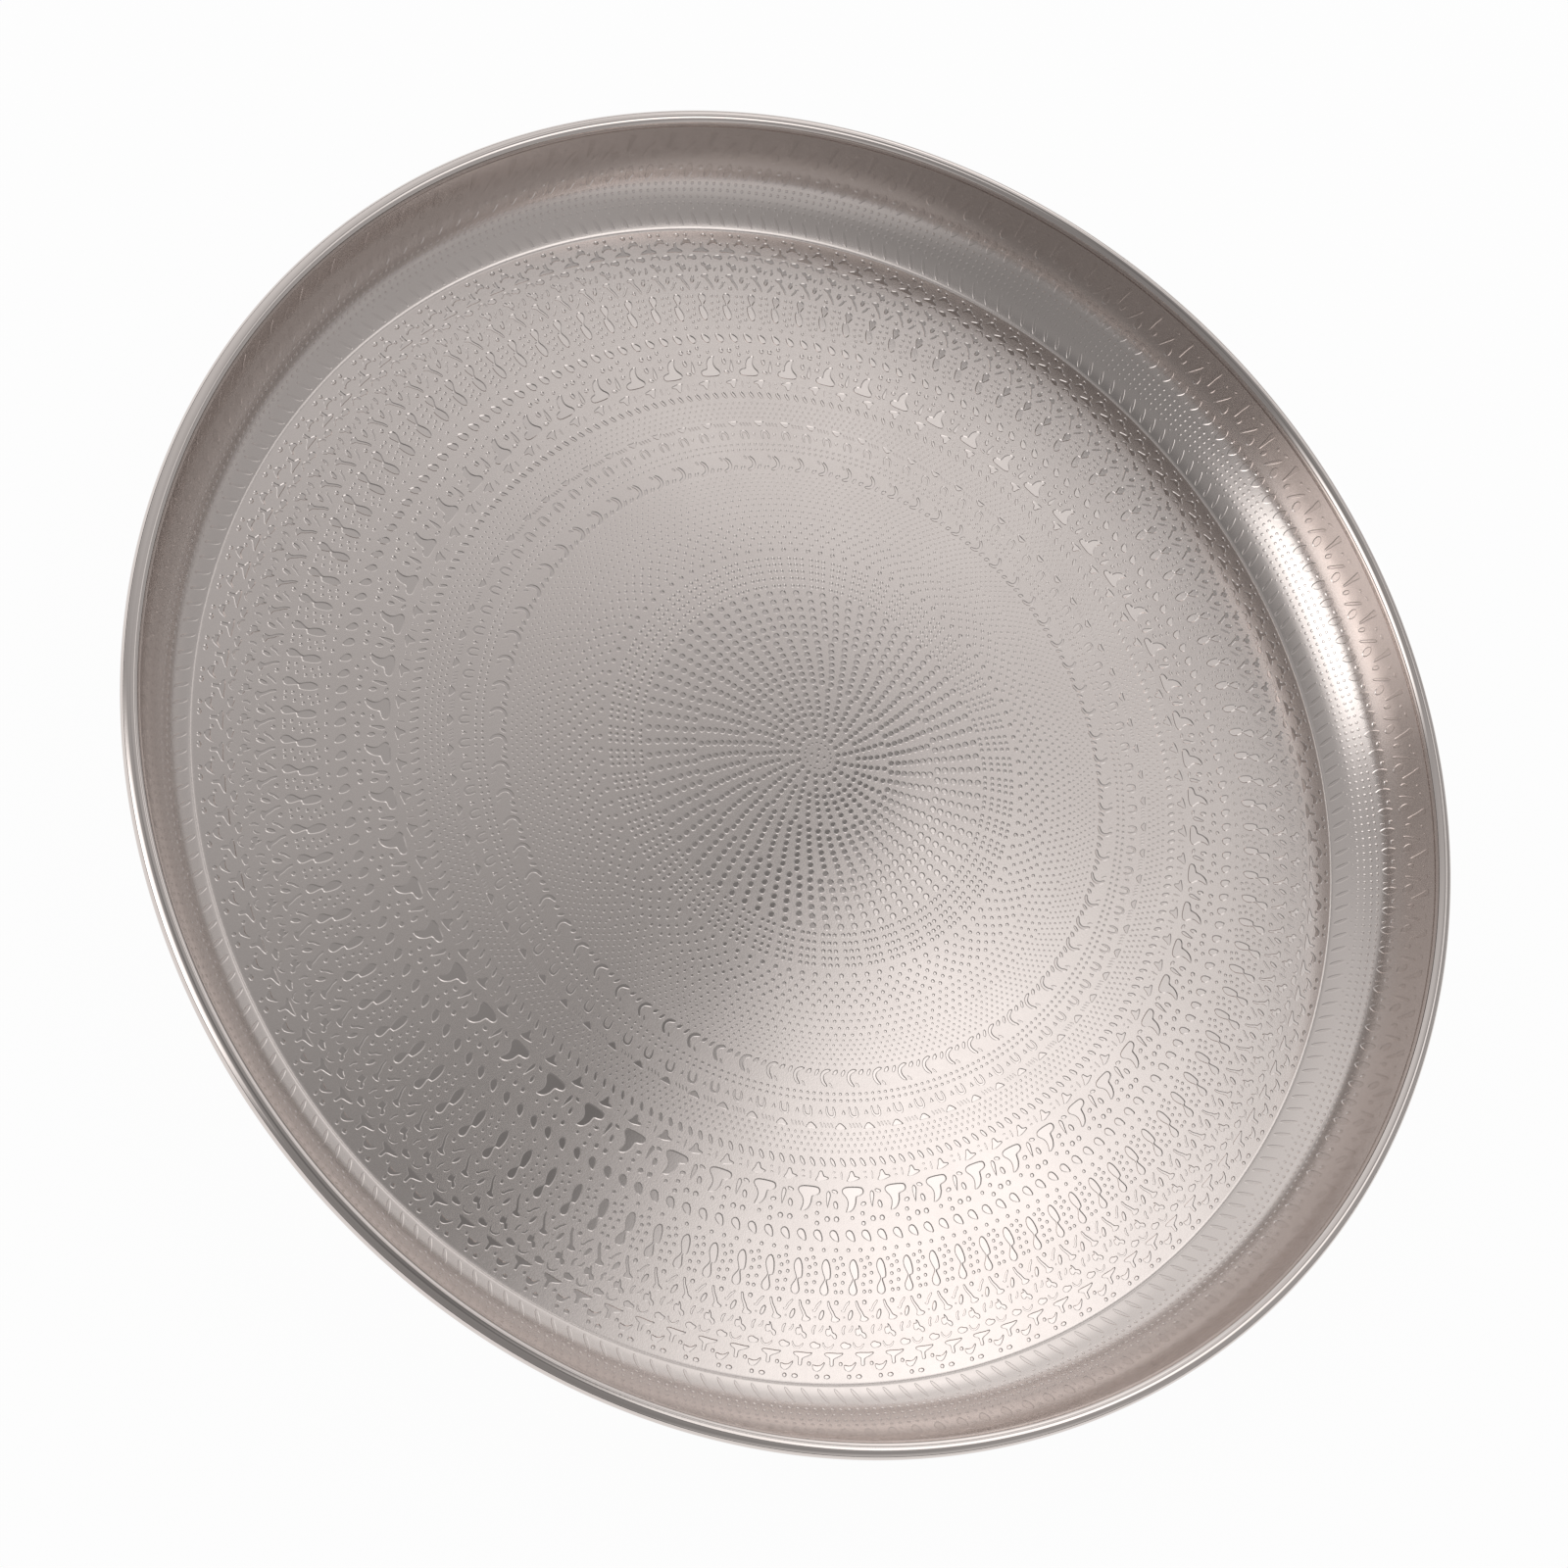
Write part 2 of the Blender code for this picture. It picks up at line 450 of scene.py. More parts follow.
def embossed_blank(bands, inner, outer, steps, press_slope, sheet, under=()):
    """A closed ring of the flat blank with its bands pressed in, and circles under it where it bends."""
    bm = bmesh.new()
    first_loop = circle_edges(bm, inner, steps) if inner else []
    last_loop = first_loop
    for band in bands:
        last_loop = add_band(bm, band, steps, press_slope, last_loop)
    outer_loop = circle_edges(bm, outer, steps)
    join_loops(bm, last_loop, outer_loop)

    below = step_loop(bm, outer_loop, drop=sheet)
    for reach in under:
        below = step_loop(bm, below, reach=reach)
    if inner:
        join_loops(bm, below, step_loop(bm, first_loop, drop=sheet))
    else:
        bmesh.ops.contextual_create(bm, geom=below)
    return bm


def finish_piece(bm, name, materials, normals=None):
    """Make a closed bmesh a piece of the pan, shaded smooth except over its sharp edges."""
    bmesh.ops.recalc_face_normals(bm, faces=bm.faces)
    for face in bm.faces:
        face.smooth = True
    for edge in bm.edges:
        if not edge.is_manifold:
            raise RuntimeError(f"{name} has an open edge near {tuple(edge.verts[0].co)}")
        if edge.calc_face_angle() > SHARP_ANGLE:
            edge.smooth = False
    mesh = bpy.data.meshes.new(name)
    bm.to_mesh(mesh)
    bm.free()
    for material in materials:
        mesh.materials.append(material)
    if normals:
        set_face_normals(mesh, normals)
    piece = bpy.data.objects.new(name, mesh)
    bpy.context.scene.collection.objects.link(piece)
    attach(piece, "root")
    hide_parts("tray_pan")


def set_face_normals(mesh, normals):
    """Give the unpressed face the normals of its true section, and leave every other corner its own."""
    corners = []
    for polygon in mesh.polygons:
        wanted = [normals[index] for index in polygon.vertices]
        unpressed = polygon.material_index == 0 and all(normal.length for normal in wanted)
        corners += wanted if unpressed else [Vector()] * len(wanted)
    mesh.normals_split_custom_set(corners)


# Bands of the floor and the wall, from the middle outwards

def centre_bands():
    """Rosette and the fields of plain dots round it."""
    rosette = Band(1, 0, 5.25)
    # The middle dot lies a hair off the axis, which gives it an outward direction
    rosette.oval(0.0, 0.001, 0.62)
    for petal in range(4):
        rosette.oval(petal / 4 + 0.1, 2.05, 0.6)
    for petal in range(18):
        rosette.oval(petal / 18, 4.15, 0.52, 0.38)
    bands = [rosette]
    # Each field has its repeats, its inner and outer circle, the radius of its dots and its rows
    fields = (
        (17, 5.3, 11.85, 0.95, (6.45, 8.67, 10.8)),
        (34, 11.9, 22.55, 0.98, (12.9, 15.1, 17.1, 19.25, 21.5)),
        (51, 22.6, 37.65, 1.05, (23.7, 25.9, 28.0, 30.2, 32.3, 34.4, 36.5)),
        (76, 37.7, 53.7, 1.1, (39.0, 41.5, 44.25, 47.0, 49.7, 52.5)),
    )
    for repeats, inner, outer, radius, reaches in fields:
        field = Band(repeats, inner, outer)
        field.rows(reaches, radius, skew=0.085, sides=8)
        bands.append(field)
    return bands


def inner_bands():
    """Spokes of dots, then rows that grow finer outwards."""
    spokes = Band(55, 53.8, 65.2)
    for reach in (54.9, 57.35, 59.7, 61.9, 63.9):
        for share in (0.214, 0.5, 0.786):
            spokes.oval(share, reach, 0.72, sides=6)
    single = Band(104, 65.3, 68.0)
    single.rows([66.9], 0.8, sides=8)
    mixed = Band(126, 68.1, 77.0)
    mixed.rows([69.05, 71.0, 72.8, 74.5, 76.0], 0.65, stagger=0.5)
    medium = Band(204, 77.1, 84.8)
    medium.rows([78.2, 80.1, 82.15, 84.1], 0.52, stagger=0.5)
    fine = Band(260, 84.9, 93.3)
    fine.rows([85.6, 87.0, 88.35, 89.7, 91.1, 92.5], 0.38, stagger=0.5)
    return [spokes, single, mixed, medium, fine]


def middle_bands():
    """Scrolls, arches and bowls between rows of fine dots, and a ring of leaning leaves."""
    scrolls = Band(75, 93.4, 99.9, seam=0.215)
    scrolls.stroke([(0.72, 98.7), (0.6, 97.6), (0.555, 96.2), (0.62, 95.0), (0.75, 94.4),
                    (0.86, 94.2)], 1.2)
    scrolls.stroke([(0.82, 97.8), (0.92, 99.0)], 0.6)
    scrolls.stroke([(0.31, 95.8), (0.36, 95.0), (0.42, 94.2)], 1.0)
    scrolls.stroke([(0.99, 95.2), (1.06, 94.9), (1.13, 94.2)], 1.2)
    twin_rows = Band(320, 100.0, 103.7)
    twin_rows.rows([100.9, 102.8], 0.5)
    arches = Band(96, 103.8, 108.2, seam=-0.02)
    arches.stroke([(0.10, 104.6), (0.12, 106.2), (0.22, 107.2), (0.40, 107.2), (0.43, 106.0),
                   (0.38, 104.6)], 0.8)
    arches.shape([(0.74, 106.6), (0.83, 106.7), (0.92, 106.6), (0.87, 105.8), (0.83, 105.1),
                  (0.79, 105.8)], 0.2, steps=1)
    bowls = Band(79, 108.3, 111.2, seam=[(0.90, 108.3), (0.955, 111.2)])
    bowls.shape([(1.47, 110.7), (1.68, 110.8), (1.88, 110.7), (1.74, 109.3), (1.66, 109.0),
                 (1.58, 109.3)], 0.25)
    for step in range(4):
        share = 0.98 + 0.12 * step
        bowls.stroke([(share, 109.1), (share + 0.07, 110.3)], 0.45, steps=2)
    fine_rows = Band(360, 111.3, 118.0)
    fine_rows.rows([112.1, 113.6, 115.3, 117.0], 0.35, along=0.5, stagger=0.5)
    leaves = Band(250, 118.1, 121.9, seam=[(-0.35, 118.1), (0.37, 121.9)])
    leaves.oval(0.5, 119.95, 0.62, 1.5, lean=29.0)
    return [scrolls, twin_rows, arches, bowls, fine_rows, leaves]


def outer_bands():
    """Funnels, boots and peanuts with dots among them, and a ring of leaning drops."""
    funnels = Band(84, 122.0, 126.0, seam=0.905)
    funnels.shape([(1.17, 125.1), (1.30, 125.4), (1.45, 125.1), (1.60, 124.6), (1.58, 124.0), (1.46, 123.7),
                   (1.40, 122.4), (1.30, 122.5), (1.25, 123.8)], 0.25)
    funnels.oval(1.80, 124.2, 0.45, 0.3, sides=6)
    funnels.oval(1.78, 122.7, 0.45, 0.3, sides=6)
    funnels.stroke([(1.02, 122.6), (1.02, 124.6)], 0.5)
    boots = Band(62, 126.1, 138.0, seam=0.19)
    boots.shape([(0.68, 133.6), (0.76, 133.7), (0.86, 132.9), (0.93, 131.2), (0.95, 129.6), (1.02, 129.3),
                 (1.10, 128.8), (1.13, 127.9), (1.09, 126.9), (0.95, 126.6), (0.75, 126.6), (0.65, 127.0),
                 (0.615, 127.8), (0.64, 128.7), (0.70, 129.6), (0.735, 130.8), (0.72, 132.2)], 0.34)
    boots.shape([(0.28, 132.6), (0.33, 130.6), (0.365, 128.8), (0.32, 127.8), (0.265, 128.4),
                 (0.255, 130.4)], 0.25)
    boots.oval(0.465, 131.7, 0.73, 1.2, lean=10.0, sides=10)
    boots.oval(0.455, 128.0, 1.0, 0.56, lean=-20.0, sides=10)
    boots.oval(1.09, 131.4, 0.9, 0.65, lean=15.0)
    for share, reach, radius in ((1.05, 136.7, 0.7), (1.05, 134.0, 0.65), (0.27, 135.5, 0.85),
                                 (0.47, 135.5, 0.85), (0.815, 135.2, 0.6)):
        boots.oval(share, reach, radius)
    drops = Band(184, 138.1, 142.4, seam=[(-0.3, 138.1), (0.3, 142.4)])
    drops.oval(0.5, 140.1, 1.15, 1.9, lean=35.0, sides=12, tip=0.35)
    beads = Band(250, 142.5, 145.0)
    beads.rows([143.85], 0.62)
    peanuts = Band(115, 145.1, 156.7, seam=[(0.36, 145.1), (0.36, 147.7), (0.39, 150.2), (0.35, 152.5),
                                           (0.28, 153.8), (0.26, 156.7)])
    peanuts.shape([(0.50, 156.1), (0.63, 155.5), (0.66, 154.4), (0.62, 152.8), (0.61, 151.9), (0.72, 151.6),
                   (0.76, 150.2), (0.74, 148.0), (0.66, 146.5), (0.56, 146.3), (0.46, 147.1), (0.42, 148.6),
                   (0.47, 150.3), (0.52, 151.5), (0.45, 152.6), (0.36, 153.8), (0.36, 155.3)], 0.32)
    for share, reach in ((0.90, 155.0), (1.10, 155.0), (0.88, 153.0), (1.16, 152.5), (0.95, 150.7),
                         (1.22, 150.1), (0.99, 148.6), (1.20, 147.7), (0.88, 146.6), (1.13, 146.0)):
        peanuts.oval(share, reach, 0.58, sides=6)
    return [funnels, boots, drops, beads, peanuts]


def border_bands():
    """The crowded border of clubs, birds, kidneys and anvils at the edge of the floor."""
    clubs = Band(120, 156.85, 163.3, seam=[(0.89, 156.85), (0.91, 158.8), (0.95, 160.2), (0.97, 161.4),
                                          (0.95, 163.3)])
    clubs.shape([(0.97, 157.5), (1.05, 157.4), (1.10, 158.8), (1.20, 160.2), (1.27, 161.4), (1.38, 161.9),
                 (1.40, 162.4), (1.30, 162.9), (1.15, 162.9), (1.09, 162.4), (1.13, 161.4), (1.07, 160.2),
                 (1.00, 159.0)], 0.22)
    clubs.oval(1.775, 161.1, 0.7, 1.5, lean=-22.0, sides=10)
    clubs.stroke([(1.47, 159.9), (1.54, 160.0), (1.62, 158.8), (1.70, 158.1), (1.76, 157.5)], 0.7)
    clubs.oval(1.30, 157.8, 0.7)
    clubs.oval(1.55, 161.7, 0.3, sides=6)
    birds = Band(120, 163.4, 167.7, seam=0.37)
    birds.stroke([(0.50, 166.1), (0.49, 164.9), (0.56, 163.9)], 0.75)
    birds.stroke([(0.69, 165.4), (0.77, 165.0), (0.82, 163.9)], 0.6)
    birds.shape([(0.90, 165.4), (0.93, 166.4), (1.02, 166.6), (1.08, 166.3), (1.15, 167.0), (1.20, 167.4),
                 (1.27, 167.1), (1.28, 166.4), (1.22, 165.8), (1.15, 165.5), (1.12, 164.6), (1.06, 163.8),
                 (1.02, 163.9), (1.03, 164.6), (0.94, 164.6)], 0.22)
    kidneys = Band(120, 167.8, 170.4, seam=0.28)
    kidneys.shape([(0.38, 169.0), (0.46, 169.9), (0.60, 169.9), (0.72, 169.5), (0.73, 168.7), (0.62, 168.4),
                   (0.55, 168.1), (0.49, 168.1), (0.42, 168.4)], 0.22)
    kidneys.stroke([(0.82, 168.3), (0.85, 169.2), (0.95, 169.8), (1.08, 169.5), (1.16, 168.7)], 0.6)
    anvils = Band(120, 170.5, 176.2, seam=[(0.66, 170.5), (0.68, 171.8), (0.86, 172.7), (0.94, 173.7),
                                          (0.97, 174.9), (1.00, 176.2)])
    anvils.shape([(1.02, 174.1), (1.08, 174.5), (1.15, 174.1), (1.16, 172.7), (1.30, 172.1), (1.44, 171.5),
                  (1.46, 170.9), (1.30, 170.9), (1.10, 170.8), (0.93, 170.8), (0.85, 171.2), (0.92, 171.9),
                  (1.02, 172.4)], 0.24)
    anvils.shape([(1.47, 174.1), (1.48, 175.1), (1.58, 175.8), (1.70, 175.6), (1.80, 174.7), (1.87, 173.7),
                  (1.84, 173.3), (1.74, 174.0), (1.62, 174.2), (1.52, 174.0)], 0.22)
    anvils.oval(1.37, 173.8, 0.6)
    twins = Band(120, 176.3, 177.9, seam=0.28)
    twins.oval(0.62, 177.1, 0.65)
    twins.oval(0.93, 177.1, 0.95, 0.65)
    return [clubs, birds, kidneys, anvils, twins]


def straight_seam(*reaches):
    """A seam that runs straight outwards, with points enough to follow the bow of the wall."""
    return [(0.0, reach) for reach in reaches]


def wall_bands():
    """Leaning leaves in the cove, rows of dots, crescents and the tall band under the rim."""
    leaves = Band(240, 180.0, 185.4, seam=[(-0.29, 180.0), (-0.15, 181.3), (0.0, 182.7), (0.15, 184.1),
                                           (0.29, 185.4)])
    leaves.oval(0.5, 182.7, 0.6, 2.75, lean=27.0, sides=14, tip=0.15, edge=0.18)
    low_row = Band(240, 185.45, 186.35)
    low_row.rows([185.9], 0.5, along=0.36)
    rows = Band(480, 186.4, 194.8)
    rows.rows([187.4, 189.5, 191.7, 193.8], 0.6, along=0.6)
    crescents = Band(180, 194.9, 201.5, seam=straight_seam(194.9, 196.6, 198.2, 199.9, 201.5))
    crescents.shape([(0.42, 195.2), (0.55, 196.2), (0.58, 197.8), (0.52, 199.6), (0.40, 200.9),
                     (0.26, 200.4), (0.16, 198.7), (0.20, 196.9)], 0.3)
    crescents.oval(0.8, 199.5, 0.85)
    crescents.oval(0.8, 196.4, 0.35, 0.95)
    tall = Band(90, 201.6, 215.6, seam=straight_seam(201.6, 204.4, 207.2, 210.0, 212.8, 215.6))
    tall.oval(0.14, 205.0, 1.4, 2.3, lean=15.0, sides=12)
    tall.stroke([(0.25, 210.6), (0.34, 207.5), (0.45, 203.8)], 1.2)
    tall.oval(0.68, 206.2, 0.85, 1.6, lean=-12.0, sides=10)
    tall.shape([(0.79, 214.4), (0.87, 214.6), (0.95, 214.4), (0.91, 210.6), (0.88, 206.3), (0.82, 206.3),
                (0.81, 210.6)], 0.3)
    tall.oval(0.28, 213.4, 1.0, 0.55, lean=20.0, sides=10)
    tall.oval(0.52, 212.2, 0.65)
    return [leaves, low_row, rows, crescents, tall]


# Steel finishes

class Signal:
    """A shader socket that takes part in Python sums."""

    def __init__(self, graph, socket):
        self.graph = graph
        self.socket = socket

    def combine(self, operation, first, second):
        """Add a Math node on two values or links."""
        return self.graph.node("ShaderNodeMath", {"operation": operation}, {0: first, 1: second})

    def __add__(self, other):
        return self.combine("ADD", self, other)

    def __mul__(self, other):
        return self.combine("MULTIPLY", self, other)

    __radd__ = __add__
    __rmul__ = __mul__


class Graph:
    """The node tree of one material or of the world."""

    def __init__(self, owner):
        owner.use_nodes = True
        self.tree = owner.node_tree
        self.tree.nodes.clear()

    def node(self, kind, settings=None, sockets=None, output=0):
        """Add a node with its settings, then the values or links of its sockets, and return an output."""
        made = self.tree.nodes.new(kind)
        for name, value in (settings or {}).items():
            if name == "stops":
                set_stops(made.color_ramp, value)
            else:
                setattr(made, name, value)
        for name, value in (sockets or {}).items():
            if isinstance(value, Signal):
                self.tree.links.new(value.socket, made.inputs[name])
            else:
                made.inputs[name].default_value = value
        return Signal(self, made.outputs[output]) if made.outputs else None


def set_stops(ramp, stops):
    """Give a colour ramp its stops, each a place and a grey level."""
    while len(ramp.elements) > 1:
        ramp.elements.remove(ramp.elements[-1])
    for index, (place, tone) in enumerate(stops):
        element = ramp.elements[0] if index == 0 else ramp.elements.new(place)
        element.position = place
        element.color = (tone, tone, tone, 1.0)


def blend_colours(graph, mask, first, second):
    """Mix two colours by a mask."""
    return graph.node(
        "ShaderNodeMix", {"data_type": "RGBA"}, {0: mask, 6: (*first, 1.0), 7: (*second, 1.0)}, output=2)


def noise(graph, coordinates, scale, detail=2.0):
    """Soft noise with so many waves to the metre."""
    return graph.node("ShaderNodeTexNoise", {}, {"Vector": coordinates, "Scale": scale, "Detail": detail})


# Waves to the metre of the dulled patches, of the speckle in the polish and of the grain
PATCH_SCALE = 26.0
PATCH_DETAIL = 4.0
SPECKLE_SCALE = 700.0
GRAIN_SCALE = 2400.0

# How much the patches and the speckle add to the roughness, and what is taken off to even it out
PATCH_ROUGHNESS = 0.06
SPECKLE_ROUGHNESS = 0.04
EVEN_ROUGHNESS = 0.05

# Depth of the grain in metres
SATIN_GRAIN = 0.000008
POLISHED_GRAIN = 0.000003
DRAWN_GRAIN = 0.00002


def steel(name, colour, stain, roughness, grain_depth):
    """Steel with a faint grain, and broad patches where handling has dulled it."""
    known = bpy.data.materials.get(name)
    if known:
        return known
    material = bpy.data.materials.new(name)
    graph = Graph(material)
    place = graph.node("ShaderNodeTexCoord", output="Object")
    patches = noise(graph, place, PATCH_SCALE, PATCH_DETAIL)
    grain = noise(graph, place, GRAIN_SCALE)
    speckle = noise(graph, place, SPECKLE_SCALE)
    bump = graph.node("ShaderNodeBump", {}, {"Strength": 1.0, "Distance": grain_depth, "Height": grain})
    even = roughness - EVEN_ROUGHNESS
    shader = graph.node("ShaderNodeBsdfPrincipled", {}, {
        "Base Color": blend_colours(graph, patches, colour, stain),
        "Metallic": 1.0,
        "Roughness": even + PATCH_ROUGHNESS * patches + SPECKLE_ROUGHNESS * speckle,
        "Normal": bump,
    })
    graph.node("ShaderNodeOutputMaterial", {}, {"Surface": shader})
    return material


def ground_steel(finish):
    """Satin sheet between the marks."""
    return steel("ground_steel", finish.ground, finish.stain, finish.ground_roughness, SATIN_GRAIN)


def pressed_steel(finish):
    """Burnished floors and edges of the marks of the floor."""
    marks = finish.marks
    return steel("pressed_steel_marks", marks, marks, finish.pressed_roughness, POLISHED_GRAIN)


def wall_mark_steel(finish):
    """Floors and edges of the marks of the wall, which are as satin as the sheet."""
    return steel("wall_steel_marks", finish.stain, finish.stain, finish.ground_roughness, POLISHED_GRAIN)


def rim_steel(finish):
    """Polished roll of the rim."""
    return steel("rim_steel", finish.ground, finish.stain, finish.rim_roughness, POLISHED_GRAIN)


def wire_steel(finish):
    """Drawn wire, dull and a little dark."""
    return steel("wire_steel_drawn", finish.wire, finish.stain, finish.wire_roughness, DRAWN_GRAIN)


# Rolled rim

# Divisions of the rim's section along its neck and round its bead
NECK_STEPS = 6
BEAD_STEPS = 40


def rolled_rim(shape, steps):
    """The neck and the roll: the section of the sheet, turned right round the axis."""
    # Each stop has its arc's centre and bend, the side of the arc that the upper face is on, and its turn
    path = []
    for step in range(NECK_STEPS + 1):
        turn = shape.slope - math.radians(90) + shape.neck_turn * step / NECK_STEPS
        path.append((shape.neck_centre, shape.neck_bend, -1, turn))
    start = shape.inward + shape.neck_turn
    for step in range(1, BEAD_STEPS + 1):
        turn = start - (shape.neck_turn + shape.hem_turn) * step / BEAD_STEPS
        path.append((shape.bead_centre, shape.bead_bend, 1, turn))
    half = shape.sheet / 2
    upper = [centre + (bend + side * half) * direction(turn) for centre, bend, side, turn in path]
    lower = [centre + (bend - side * half) * direction(turn) for centre, bend, side, turn in path]
    bm = bmesh.new()
    section = [bm.verts.new((point.x, 0.0, point.y)) for point in upper + lower[::-1]]
    edges = [bm.edges.new(pair) for pair in zip(section, section[1:] + section[:1])]
    bmesh.ops.spin(
        bm, geom=section + edges, cent=ORIGIN, axis=UPWARD,
        angle=2 * math.pi, steps=steps, use_merge=True)
    return bm


# Studio

# Side of the square picture in pixels, and the nearest depth that the camera shows
PICTURE_SIDE = 1600
CLIP_START = 0.05


def set_camera(context, studio):
    """The camera looks at the middle of the rim, from the photograph's side and with its roll."""
    low = math.cos(studio.elevation)
    high = math.sin(studio.elevation)
    backward = Vector((0.0, -low, high))
    level = Vector((1.0, 0.0, 0.0))
    upright = Vector((0.0, high, low))
    right = math.cos(studio.roll) * level + math.sin(studio.roll) * upright
    up = math.cos(studio.roll) * upright - math.sin(studio.roll) * level
    camera = bpy.data.objects.new("camera", bpy.data.cameras.new("camera"))
    context.scene.collection.objects.link(camera)
    turn = Matrix((right, up, backward)).transposed().to_4x4()
    aim = Vector((0.0, 0.0, BEAD_HEIGHT))
    camera.matrix_world = Matrix.Translation(aim + studio.distance * backward) @ turn
    camera.data.lens = studio.lens
    camera.data.shift_x = 0.5 - studio.aim_column / PICTURE_SIDE
    camera.data.shift_y = studio.aim_row / PICTURE_SIDE - 0.5
    camera.data.clip_start = CLIP_START
    context.scene.camera = camera


def seen_rays(graph):
    """One for rays that show the background itself: from the camera, a mirror or glass."""
    kinds = ("Is Camera Ray", "Is Glossy Ray", "Is Transmission Ray")
    flags = [graph.node("ShaderNodeLightPath", output=kind) for kind in kinds]
    return graph.node(
        "ShaderNodeMath", {"operation": "ADD", "use_clamp": True}, {0: flags[0] + flags[1], 1: flags[2]})


def set_world(context):
    """Plain white behind the table. The tent hides it from the tray."""
    world = bpy.data.worlds.new("studio")
    context.scene.world = world
    graph = Graph(world)
    sky = graph.node("ShaderNodeBackground", {}, {"Color": WHITE, "Strength": 1.0})
    graph.node("ShaderNodeOutputWorld", {}, {"Surface": sky})


# The table lies a hair under the tray, and shows this share of plain white where it is seen
TABLE_SIZE = 3.0
TABLE_DROP = 0.0003
TABLE_COLOUR = (0.9, 0.9, 0.9, 1.0)
TABLE_WHITE_SHARE = 0.96


def add_table(context):
    """A pale table that keeps the tray's shadow."""
    bm = bmesh.new()
    bmesh.ops.create_grid(bm, x_segments=1, y_segments=1, size=TABLE_SIZE)
    bmesh.ops.translate(bm, verts=bm.verts, vec=(0.0, 0.0, -TABLE_DROP))
    material = bpy.data.materials.new("pale_table")
    graph = Graph(material)
    paper = graph.node("ShaderNodeBsdfDiffuse", {}, {"Color": TABLE_COLOUR})
    glow = graph.node("ShaderNodeEmission", {}, {"Color": WHITE, "Strength": 1.0})
    share = seen_rays(graph) * TABLE_WHITE_SHARE
    surface = graph.node("ShaderNodeMixShader", {}, {0: share, 1: paper, 2: glow})
    graph.node("ShaderNodeOutputMaterial", {}, {"Surface": surface})
    add_stage_mesh(context, "table", bm, material)


def add_stage_mesh(context, name, bm, material):
    """Link a mesh of the studio, which isn't part of the tray."""
    mesh = bpy.data.meshes.new(name)
    bm.to_mesh(mesh)
    bm.free()
    mesh.materials.append(material)
    thing = bpy.data.objects.new(name, mesh)
    context.scene.collection.objects.link(thing)
    return thing


# The hub lies near the place on the panel that the middle of the floor mirrors towards the camera.
# The panel is dimmed to this share at its hub, and less and less up to this reach from it.
PANEL_STEPS = 96
PANEL_CENTRE = (0.05, 0.52)
PANEL_HUB = (0.055, 0.785)
PANEL_SHADE = 0.62
PANEL_SHADE_REACH = 0.33

# Brightness of the panel round its hub, each at a share of the full turn
PANEL_STOPS = (
    (0.0, 1.03), (0.06, 0.96), (0.14, 0.93), (0.2, 0.99), (0.25, 1.1), (0.38, 1.14), (0.47, 1.06),
    (0.5, 0.96), (0.54, 0.74), (0.6, 0.58), (0.66, 0.51), (0.72, 0.34), (0.765, 0.21), (0.785, 0.45),
    (0.805, 1.15), (0.845, 1.75), (0.9, 1.75), (0.95, 1.4), (1.0, 1.03),
)


def add_panel(context, studio):
    """The overhead panel, whose brightness changes round its hub."""
    bm = bmesh.new()
    bmesh.ops.create_circle(bm, cap_ends=True, segments=PANEL_STEPS, radius=studio.panel_radius)
    bmesh.ops.translate(bm, verts=bm.verts, vec=(*PANEL_CENTRE, studio.panel_height))
    material = bpy.data.materials.new("overhead_light")
    graph = Graph(material)
    place = graph.node("ShaderNodeTexCoord", output="Object")
    hub = (*PANEL_HUB, 0.0)
    level = (1.0, 1.0, 0.0)
    centred = graph.node("ShaderNodeVectorMath", {"operation": "SUBTRACT"}, {0: place, 1: hub})
    flat = graph.node("ShaderNodeVectorMath", {"operation": "MULTIPLY"}, {0: centred, 1: level})
    turned = graph.node("ShaderNodeMapping", {}, {"Vector": centred, "Rotation": (0.0, 0.0, math.pi)})
    around = graph.node("ShaderNodeTexGradient", {"gradient_type": "RADIAL"}, {"Vector": turned})
    tone = graph.node("ShaderNodeValToRGB", {"stops": PANEL_STOPS}, {"Fac": around})
    reach = graph.node("ShaderNodeVectorMath", {"operation": "LENGTH"}, {0: flat}, output="Value")
    shade = graph.node("ShaderNodeMapRange", {}, {
        "Value": reach, "From Max": PANEL_SHADE_REACH, "To Min": PANEL_SHADE, "To Max": 1.0})
    glow = graph.node("ShaderNodeEmission", {}, {"Color": tone * shade, "Strength": 1.0})
    graph.node("ShaderNodeOutputMaterial", {}, {"Surface": glow})
    panel = add_stage_mesh(context, "overhead_panel", bm, material)
    panel.visible_camera = False


# Size and divisions of the tent, and its light where it has no card
TENT_RADIUS = 2.0
TENT_SEGMENTS = 24
TENT_RINGS = 12
TENT_BASE = 0.47

# A card of the tent has its azimuth, elevation, radius and soft edge in degrees, and the light it adds
TENT_CARDS = {
    "broad card": (137.0, 18.0, 40.0, 50.0, 0.4),
    "far light": (114.0, 32.0, 11.0, 10.0, 0.5),
    "far light foot": (107.0, 24.0, 8.0, 8.0, 0.35),
    "far card": (88.0, 31.0, 8.0, 8.0, 0.5),
    "far shade": (90.0, 48.0, 9.0, 8.0, -0.25),
    "far left shade": (115.0, 50.0, 9.0, 8.0, -0.25),
    "far right shade": (65.0, 50.0, 9.0, 8.0, -0.25),
    "dark flag": (292.0, 36.0, 45.0, 60.0, -0.17),
    "low strip": (235.0, 14.0, 18.0, 16.0, 1.35),
    "strip top": (234.0, 34.0, 17.0, 16.0, 1.2),
    "low card": (340.0, 8.0, 25.0, 16.0, 0.2),
    "dark roof": (90.0, 88.0, 20.0, 20.0, -0.22),
}

